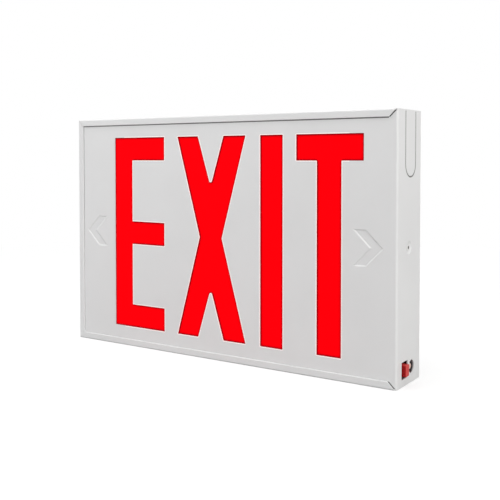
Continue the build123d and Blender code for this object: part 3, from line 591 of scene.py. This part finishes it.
def seat(x, y, z, direction, turn=20):
    # head up along the direction, seat plane at the point in millimetres
    aim = Vector(direction).to_track_quat("Z", "Y").to_matrix().to_4x4()
    around = Matrix.Rotation(math.radians(turn), 4, "Z")
    return Matrix.Translation((x * mm, y * mm, z * mm)) @ aim @ around


print("zinc ready")


# Cover screw, sprayed with the cover; painted shade makes its recess and the head round it near black
coverScrew = {
    "color": (0.78, 0.78, 0.775),
    "paintedRecessShade": (0.10, 0.095, 0.09),
    "reach": 1.5,
    "soft": 0.2,
    "painted": 1.2,         # depth of the coat down the head
    "roughness": 0.36,
    "turn": 8,
}


def paintedScrew():
    finish = Finish("paintedScrew")
    across = finish.fromMiddle("cover_screw", "Y")
    up = finish.fromMiddle("cover_screw", "Z")
    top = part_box("cover_screw")[1].x / mm
    depth = top - finish.axis("X")
    reach, soft = coverScrew["reach"], coverScrew["soft"]
    # painted shade: near black round the screw's axis, over the recess
    recessShadeMask = (across * across + up * up).root().ease(reach + soft, reach - soft)
    recessShadeMask = recessShadeMask * (finish.noise(0.5) * 0.3 + 0.8)
    steel = depth > coverScrew["painted"]
    color = finish.between(recessShadeMask, coverScrew["color"], coverScrew["paintedRecessShade"])
    color = finish.between(steel, color, zinc["milky"])
    return finish.surface(color, finish.noise(0.4) * 0.1 + coverScrew["roughness"], metallic=steel)


screwSpot = middle("cover_screw")
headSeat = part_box("cover_screw")[1].x / mm - screwKinds["cover"]["height"]
coverPlace = seat(headSeat, screwSpot[1], screwSpot[2], (1, 0, 0), coverScrew["turn"])
makeScrews("coverScrew", "cover_screw", "cover", "cover", [coverPlace], paintedScrew())


# Pan head screws of the tray and the strips
def gridOf(node, axes, counts):
    # centres of equal screws spread over a node's box along two axes
    low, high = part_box(node)
    head = screwKinds["pan"]["head"]
    rows = []
    for axis, count in zip(axes, counts):
        start, end = low[axis] / mm + head, high[axis] / mm - head
        rows.append([start + (end - start) * i / max(count - 1, 1) for i in range(count)])
    return [(a, b) for a in rows[0] for b in rows[1]]


def panScrews():
    height = screwKinds["pan"]["height"]
    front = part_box("tray_screws")[0].y / mm + height
    turns = (12, 57, 33, 71)
    grid = gridOf("tray_screws", (0, 2), (2, 2))
    places = [seat(x, front, z, (0, -1, 0), turn) for (x, z), turn in zip(grid, turns)]
    makeScrews("trayScrews", "tray_screws", "housing", "pan", places, turnedZinc)
    for side, corner, direction in (("upper", 0, -1), ("lower", 1, 1)):
        node = side + "_strip_screws"
        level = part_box(node)[corner].z / mm - direction * height
        grid = gridOf(node, (0, 1), (3, 1))
        places = [seat(x, y, level, (0, 0, direction), turn) for (x, y), turn in zip(grid, turns)]
        name = side + "StripScrews"
        makeScrews(name, node, "housing", "pan", places, turnedZinc)


panScrews()
print("screws cut")


# Return spring of the button, a coil
coil = {"wire": 0.25, "turns": 4, "steps": 36, "sides": 12, "press": 1.5}


def returnSpring():
    low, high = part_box("button_spring")
    spot = middle("button_spring")
    wire = coil["wire"] * mm
    steps = coil["turns"] * coil["steps"]
    mesh = bmesh.new()
    bmesh.ops.create_circle(mesh, cap_ends=True, radius=wire, segments=coil["sides"])
    start = (low.x + wire, high.y - wire, spot[2] * mm)
    bmesh.ops.translate(mesh, vec=start, verts=mesh.verts)
    everything = [*mesh.verts, *mesh.edges, *mesh.faces]
    rise = (high.x - low.x - 2 * wire) / steps
    bmesh.ops.spin(mesh, geom=everything, cent=(0, spot[1] * mm, spot[2] * mm), axis=(1, 0, 0),
                   angle=2 * math.pi * coil["turns"], steps=steps, dvec=(rise, 0, 0))
    closeEnds(mesh)
    bmesh.ops.recalc_face_normals(mesh, faces=mesh.faces)
    spring = toObject("buttonSpring", mesh, turnedZinc)
    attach(spring, "housing")
    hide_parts("button_spring")
    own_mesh(spring)


returnSpring()
print("spring coiled")


# Charger board: green solder mask over copper tracks
board = {
    "mask": (0.012, 0.115, 0.045),
    "track": (0.022, 0.175, 0.075),
    "solder": (0.62, 0.62, 0.60),
    "trackPitch": 2.54,
    "trackHalf": 0.42,
    "upTrackHalf": 0.5,
    "bendPatch": 14.0,
    "bendReach": 9.0,
    "areaPatch": 22.0,      # tracks run across in some areas and up in the others
    "areaShare": 0.52,
    "padPitch": 5.08,
    "padRadius": 0.75,
    "padPatch": 16.0,
    "roughness": 0.3,
    "copperDepth": 0.05,
}


def chargerBoard():
    finish = Finish("chargerBoard")
    x, z = finish.axis("X"), finish.axis("Z")
    bend = finish.noise(board["bendPatch"], 1.0) * board["bendReach"]
    lanes = (z + bend).fold(board["trackPitch"]) < board["trackHalf"]
    lanesUp = (x + bend).fold(board["trackPitch"] * 2) < board["upTrackHalf"]
    turn = finish.noise(board["areaPatch"], 0.0) > board["areaShare"]
    tracks = lanes * turn + lanesUp * (1.0 - turn)
    padX, padZ = x.fold(board["padPitch"]), z.fold(board["padPitch"])
    pads = (padX * padX + padZ * padZ).root() < board["padRadius"]
    pads = pads * (finish.noise(board["padPatch"]) > 0.5)
    color = finish.between(tracks, board["mask"], board["track"])
    color = finish.between(pads, color, board["solder"])
    return finish.surface(color, pads * 0.05 + board["roughness"], metallic=pads,
                          bump=finish.relief(tracks * 0.5 + pads, board["copperDepth"]))


dress(chargerBoard(), "charger_board")


# White strip boards and their chips
strip = {
    "mask": (0.80, 0.81, 0.80),
    "copper": (0.70, 0.70, 0.68),
    "rail": (0.66, 0.67, 0.66),
    "padLength": 5.2,
    "padOver": 0.6,
    "padGap": 1.2,
    "padHalf": 1.5,
    "railAway": 4.6,
    "railHalf": 0.7,
    "railShare": 0.35,
    "roughness": 0.3,
    "copperDepth": 0.04,
}
chip = {
    "body": (0.83, 0.82, 0.78),
    "phosphor": (0.86, 0.62, 0.10),
    "pitch": 25.0,
    "radius": 1.05,
    "soft": 0.1,
    "roughness": 0.45,
    "shine": 0.25,
    "depth": 0.08,
}


def chipDistance(finish):
    return (finish.axis("X") + chip["pitch"] / 2).fold(chip["pitch"])


def stripBoard():
    finish = Finish("stripBoard")
    y = finish.fromMiddle("upper_led_chips", "Y")
    away = chipDistance(finish)
    pads = (away < strip["padLength"] / 2 + strip["padOver"]) * (away > strip["padGap"])
    pads = pads * (abs(y) < strip["padHalf"])
    rail = (abs(abs(y) - strip["railAway"]) < strip["railHalf"]) * strip["railShare"]
    color = finish.between(rail, strip["mask"], strip["rail"])
    color = finish.between(pads, color, strip["copper"])
    return finish.surface(color, finish.noise(3.0) * 0.1 + strip["roughness"], metallic=pads * 0.8,
                          bump=finish.relief(pads + rail, strip["copperDepth"]))


def stripChips():
    finish = Finish("stripChips")
    x = chipDistance(finish)
    y = finish.fromMiddle("upper_led_chips", "Y")
    light = (x * x + y * y).root().ease(chip["radius"] + chip["soft"], chip["radius"] - chip["soft"])
    light = light * (abs(finish.normal("Z")) > 0.5)
    color = finish.between(light, chip["body"], chip["phosphor"])
    return finish.surface(color, chip["roughness"] - light * chip["shine"],
                          bump=finish.relief(light, chip["depth"]))


dress(stripBoard(), "upper_led_strip", "lower_led_strip")
dress(stripChips(), "upper_led_chips", "lower_led_chips")


# Moulded plastics
plastics = {
    "nylon": {"color": (0.76, 0.74, 0.66), "roughness": 0.45},
    "plugWhite": {"color": (0.82, 0.82, 0.79), "roughness": 0.4},
    "blackPlastic": {"color": (0.018, 0.018, 0.019), "roughness": 0.42},
    "terminalGreen": {"color": (0.025, 0.16, 0.045), "roughness": 0.35},
}
mould = {"grain": 0.35, "grainDepth": 0.008, "cloud": 12.0, "shade": 0.88, "roughnessSpread": 0.15}


def mouldedPlastic(name):
    finish = Finish(name)
    facts = plastics[name]
    grain = finish.noise(mould["grain"], 2.0)
    cloud = finish.noise(mould["cloud"], 2.0)
    color = finish.between(cloud, facts["color"], darker(facts["color"], mould["shade"]))
    roughness = grain * mould["roughnessSpread"] + facts["roughness"]
    return finish.surface(color, roughness, bump=finish.relief(grain, mould["grainDepth"]))


dress(mouldedPlastic("nylon"), "board_posts", "battery_header", "upper_strip_header", "lower_strip_header",
      "test_header")
dress(mouldedPlastic("plugWhite"), "battery_plug", "upper_strip_plug", "lower_strip_plug", "test_plug")
dress(mouldedPlastic("blackPlastic"), "test_switch", "lamp_holder", "lamp_nut", "switch_plunger")
dress(mouldedPlastic("terminalGreen"), "terminal_block")


# Red test button, painted lighter on its faces turned out and up and painted darker on its sides
button = {
    # painted shade on the sides, painted light on the faces turned out and up
    "side": (0.34, 0.0, 0.001),
    "face": (0.64, 0.055, 0.050),
    "turnFrom": 0.3,
    "turnTo": 0.9,
    "scuff": 1.2,
    "scuffDepth": 0.006,
    "roughness": 0.28,
    "roughnessSpread": 0.12,
}


def buttonRed():
    finish = Finish("buttonRed")
    # painted light and shade: faces turned to +X or up get the paler red
    paintedLightMask = (finish.normal("X") | finish.normal("Z")).ease(button["turnFrom"], button["turnTo"])
    scuff = finish.noise(button["scuff"], 3.0)
    color = finish.between(paintedLightMask, button["side"], button["face"])
    roughness = scuff * button["roughnessSpread"] + button["roughness"]
    return finish.surface(color, roughness, shine=0.2, bump=finish.relief(scuff, button["scuffDepth"]))


dress(buttonRed(), "test_button")


# Milky indicator lamp, unlit
lamp = {
    "tint": (0.80, 0.60, 0.52),
    "core": (0.70, 0.40, 0.33),
    "coreOut": 2.8,         # radii where the core starts and is full
    "coreIn": 0.8,
    "coreShare": 0.7,
    "cloud": 1.5,
    "cloudShare": 0.2,
    "roughness": 0.1,
}


def milkyLamp():
    finish = Finish("milkyLamp")
    y = finish.fromMiddle("status_lamp", "Y")
    z = finish.fromMiddle("status_lamp", "Z")
    core = (y * y + z * z).root().ease(lamp["coreOut"], lamp["coreIn"])
    cloud = finish.noise(lamp["cloud"], 2.0)
    share = core * lamp["coreShare"] + cloud * lamp["cloudShare"]
    color = finish.between(share, lamp["tint"], lamp["core"])
    return finish.surface(color, cloud * 0.08 + lamp["roughness"], coat=0.6, coatRoughness=0.05)


dress(milkyLamp(), "status_lamp")


# Transformer on the charger board
coreSteel = {
    "color": (0.16, 0.15, 0.145),
    "gap": (0.05, 0.045, 0.04),
    "sheet": 0.5,
    "gapWidth": 0.3,        # share of half a sheet
    "gapShare": 0.8,
    "varnish": 4.0,
    "roughness": 0.35,
    "depth": 0.03,
}
tape = {
    "color": (0.72, 0.47, 0.035),
    "shade": 0.7,
    "lap": 3.2,
    "seam": 0.12,
    "seamShare": 0.5,
    "edge": 0.2,
    "edgeDepth": 0.05,
    "roughness": 0.25,
}


def laminations():
    finish = Finish("laminations")
    sheet = finish.axis("Z").fold(coreSteel["sheet"]) / (coreSteel["sheet"] / 2)
    varnish = finish.noise(coreSteel["varnish"], 3.0)
    gap = (sheet < coreSteel["gapWidth"]) * coreSteel["gapShare"]
    color = finish.between(gap, coreSteel["color"], coreSteel["gap"])
    return finish.surface(color, varnish * 0.2 + coreSteel["roughness"], metallic=0.7,
                          bump=finish.relief(sheet + varnish, coreSteel["depth"]))


def windingTape():
    finish = Finish("windingTape")
    lap = finish.axis("Y").fold(tape["lap"]) / (tape["lap"] / 2)
    seam = (lap < tape["seam"]) * tape["seamShare"]
    color = finish.between(seam, tape["color"], darker(tape["color"], tape["shade"]))
    return finish.surface(color, finish.noise(2.0) * 0.1 + tape["roughness"],
                          bump=finish.relief(lap.ease(0.0, tape["edge"]), tape["edgeDepth"]))


# Capacitors, fuse and regulator on the charger board
can = {
    "sleeve": (0.018, 0.022, 0.045),
    "stripe": (0.45, 0.47, 0.50),
    "top": (0.62, 0.62, 0.61),
    "rim": 0.9,
    "topDepth": 0.6,
    "stripeHalf": 1.3,
    "roughness": 0.24,
}
fuseWrap = {
    "ceramic": (0.76, 0.74, 0.68),
    "cap": (0.60, 0.58, 0.54),
    "capLength": 4.5,
    "roughness": 0.4,
    "capShine": 0.12,
}
regulatorCase = {
    "case": (0.02, 0.02, 0.021),
    "metal": (0.62, 0.62, 0.61),
    "caseHeight": 9.0,
    "legLength": 3.0,
    "tab": 1.35,
    "roughness": 0.3,
}


def canSleeve(name):
    finish = Finish(name + "Sleeve")
    low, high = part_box(name)
    x, z = finish.fromMiddle(name, "X"), finish.fromMiddle(name, "Z")
    inner = (x * x + z * z).root() < (high.x - low.x) / 2 / mm - can["rim"]
    bare = (finish.axis("Y") < low.y / mm + can["topDepth"]) * inner
    stripe = (x > 0.0) * (abs(z) < can["stripeHalf"])
    color = finish.between(stripe, can["sleeve"], can["stripe"])
    color = finish.between(bare, color, can["top"])
    return finish.surface(color, finish.noise(3.0) * 0.08 + can["roughness"], metallic=bare,
                          coat=0.2, coatRoughness=0.1)


def ceramicFuse():
    finish = Finish("ceramicFuse")
    low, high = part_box("board_fuse")
    half = (high.x - low.x) / 2 / mm
    cap = abs(finish.fromMiddle("board_fuse", "X")) > half - fuseWrap["capLength"]
    color = finish.between(cap, fuseWrap["ceramic"], fuseWrap["cap"])
    return finish.surface(color, fuseWrap["roughness"] - cap * fuseWrap["capShine"], metallic=cap)


def transistor():
    finish = Finish("transistor")
    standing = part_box("charger_board")[0].y / mm - finish.axis("Y")
    body = standing > regulatorCase["legLength"]
    body = body * (standing < regulatorCase["legLength"] + regulatorCase["caseHeight"])
    back = finish.axis("Z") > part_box("regulator")[1].z / mm - regulatorCase["tab"]
    plastic = body * (1.0 - back)
    color = finish.between(plastic, regulatorCase["metal"], regulatorCase["case"])
    return finish.surface(color, finish.noise(0.3) * 0.2 + regulatorCase["roughness"],
                          metallic=1.0 - plastic)


dress(laminations(), "transformer_core")
dress(windingTape(), "transformer_coil")
dress(canSleeve("smoothing_capacitor"), "smoothing_capacitor")
dress(canSleeve("timing_capacitor"), "timing_capacitor")
dress(ceramicFuse(), "board_fuse")
dress(transistor(), "regulator")


# Battery in its shrink sleeve, with the bare cell ends inside the folded rims
battery = {
    "sleeve": (0.02, 0.075, 0.26),
    "end": (0.55, 0.55, 0.54),
    "endShare": 0.75,
    "wrinkle": 9.0,
    "stretch": (0.3, 1.0, 1.0),
    "wrinkleDepth": 0.12,
    "roughness": 0.22,
    "roughnessSpread": 0.15,
}


def cellSleeve():
    finish = Finish("cellSleeve")
    wrinkle = finish.noise(battery["wrinkle"], 3.0, battery["stretch"])
    ends = (abs(finish.normal("X")) > 0.7) * battery["endShare"]
    color = finish.between(ends, battery["sleeve"], battery["end"])
    roughness = wrinkle * battery["roughnessSpread"] + battery["roughness"]
    return finish.surface(color, roughness, coat=0.4, coatRoughness=0.12,
                          bump=finish.relief(wrinkle, battery["wrinkleDepth"]))


dress(cellSleeve(), "battery_pack")


# Leads: two insulated wires laid together, shown by a twist of two tones
leads = {
    "battery_lead": ((0.45, 0.012, 0.012), (0.02, 0.02, 0.02)),
    "upper_strip_lead": ((0.03, 0.03, 0.03), (0.42, 0.02, 0.02)),
    "lower_strip_lead": ((0.03, 0.03, 0.03), (0.42, 0.02, 0.02)),
    "switch_lead": ((0.30, 0.31, 0.32), (0.62, 0.62, 0.60)),
    "lamp_lead": ((0.30, 0.31, 0.32), (0.42, 0.02, 0.02)),
}
twist = {"pitch": 9.0, "depth": 0.12, "edgeFrom": 0.42, "edgeTo": 0.58, "groove": 0.2, "roughness": 0.35}


def twistedPair(name):
    finish = Finish(name + "Wires")
    along = (finish.axis("X") + finish.axis("Y") + finish.axis("Z")) * (2 * math.pi / twist["pitch"])
    turn = along.wave() * 0.5 + 0.5
    color = finish.between(turn.ease(twist["edgeFrom"], twist["edgeTo"]), *leads[name])
    groove = abs(turn - 0.5).ease(0.0, twist["groove"])
    return finish.surface(color, turn * 0.06 + twist["roughness"],
                          bump=finish.relief(groove, twist["depth"]))


for name in leads:
    dress(twistedPair(name), name)
print("inner parts finished")


# Studio: pale floor that fades into the white behind, and four soft lights
studio = {
    "floorSize": 8.0,
    "floorColor": (0.46, 0.46, 0.46),
    "floorShade": 0.99,
    "floorPatch": 400.0,
    "floorSeen": 0.60,        # what the camera sees on top of the lit floor
    "floorNear": 300.0,       # the floor turns white between these distances
    "floorFar": 1100.0,
    "skyLight": 0.30,
    "top": {"power": 13.5, "size": (1.8, 0.9), "place": (-0.15, -0.35, 1.25), "color": (1.0, 1.0, 1.0)},
    "right": {"power": 21.0, "size": (1.2, 1.2), "place": (1.9, -0.6, 0.5), "color": (1.0, 0.985, 0.965)},
    "left": {"power": 5.4, "size": (0.9, 0.9), "place": (-0.95, -1.1, 0.2), "color": (1.0, 1.0, 1.0)},
    "back": {"power": 12.0, "size": (1.2, 1.2), "place": (-0.6, 1.8, 0.8), "color": (1.0, 1.0, 1.0)},
}


def makeFloor():
    mesh = bmesh.new()
    bmesh.ops.create_grid(mesh, x_segments=1, y_segments=1, size=studio["floorSize"] / 2)
    bmesh.ops.translate(mesh, vec=(0, 0, cadLow.z), verts=mesh.verts)
    data = bpy.data.meshes.new("floor")
    mesh.to_mesh(data)
    mesh.free()
    floor = bpy.data.objects.new("floor", data)
    scene.collection.objects.link(floor)
    finish = Finish("paleFloor")
    seen = finish.node("ShaderNodeLightPath", {}, {}, "Is Camera Ray")
    patch = finish.noise(studio["floorPatch"], 1.0)
    shade = darker(studio["floorColor"], studio["floorShade"])
    color = finish.between(patch, studio["floorColor"], shade)
    lit = finish.node("ShaderNodeBsdfDiffuse", {}, {"Color": color})
    glow = finish.node("ShaderNodeEmission", {}, {"Strength": studio["floorSeen"]})
    near = finish.node("ShaderNodeAddShader", {}, {0: lit, 1: glow})
    white = finish.node("ShaderNodeEmission", {}, {"Strength": 1.0})
    x, y = finish.axis("X"), finish.axis("Y")
    away = (x * x + y * y).root().ease(studio["floorNear"], studio["floorFar"])
    shown = finish.node("ShaderNodeMixShader", {}, {0: away, 1: near, 2: white})
    both = finish.node("ShaderNodeMixShader", {}, {0: seen, 1: lit, 2: shown})
    finish.node("ShaderNodeOutputMaterial", {}, {"Surface": both})
    data.materials.append(finish.material)


def makeSky():
    finish = Finish("studioSky", bpy.data.worlds)
    seen = [finish.node("ShaderNodeLightPath", {}, {}, ray)
            for ray in ("Is Camera Ray", "Is Glossy Ray", "Is Transmission Ray")]
    sky = finish.node("ShaderNodeBackground", {}, {"Color": (1, 1, 1, 1), "Strength": studio["skyLight"]})
    white = finish.node("ShaderNodeBackground", {}, {"Color": (1, 1, 1, 1), "Strength": 1.0})
    both = finish.node("ShaderNodeMixShader", {}, {0: seen[0] | seen[1] | seen[2], 1: sky, 2: white})
    finish.node("ShaderNodeOutputWorld", {}, {"Surface": both})
    scene.world = finish.material


def makeLight(name):
    facts = studio[name]
    data = bpy.data.lights.new(name + "Light", "AREA")
    data.shape = "RECTANGLE"
    data.size, data.size_y = facts["size"]
    data.energy = facts["power"]
    data.color = facts["color"]
    light = bpy.data.objects.new(name + "Light", data)
    light.location = facts["place"]
    light.rotation_euler = Vector(facts["place"]).to_track_quat("Z", "Y").to_euler()
    scene.collection.objects.link(light)


makeFloor()
makeSky()
for name in ("top", "right", "left", "back"):
    makeLight(name)
scene.view_settings.view_transform = "Standard"
print("studio lit")
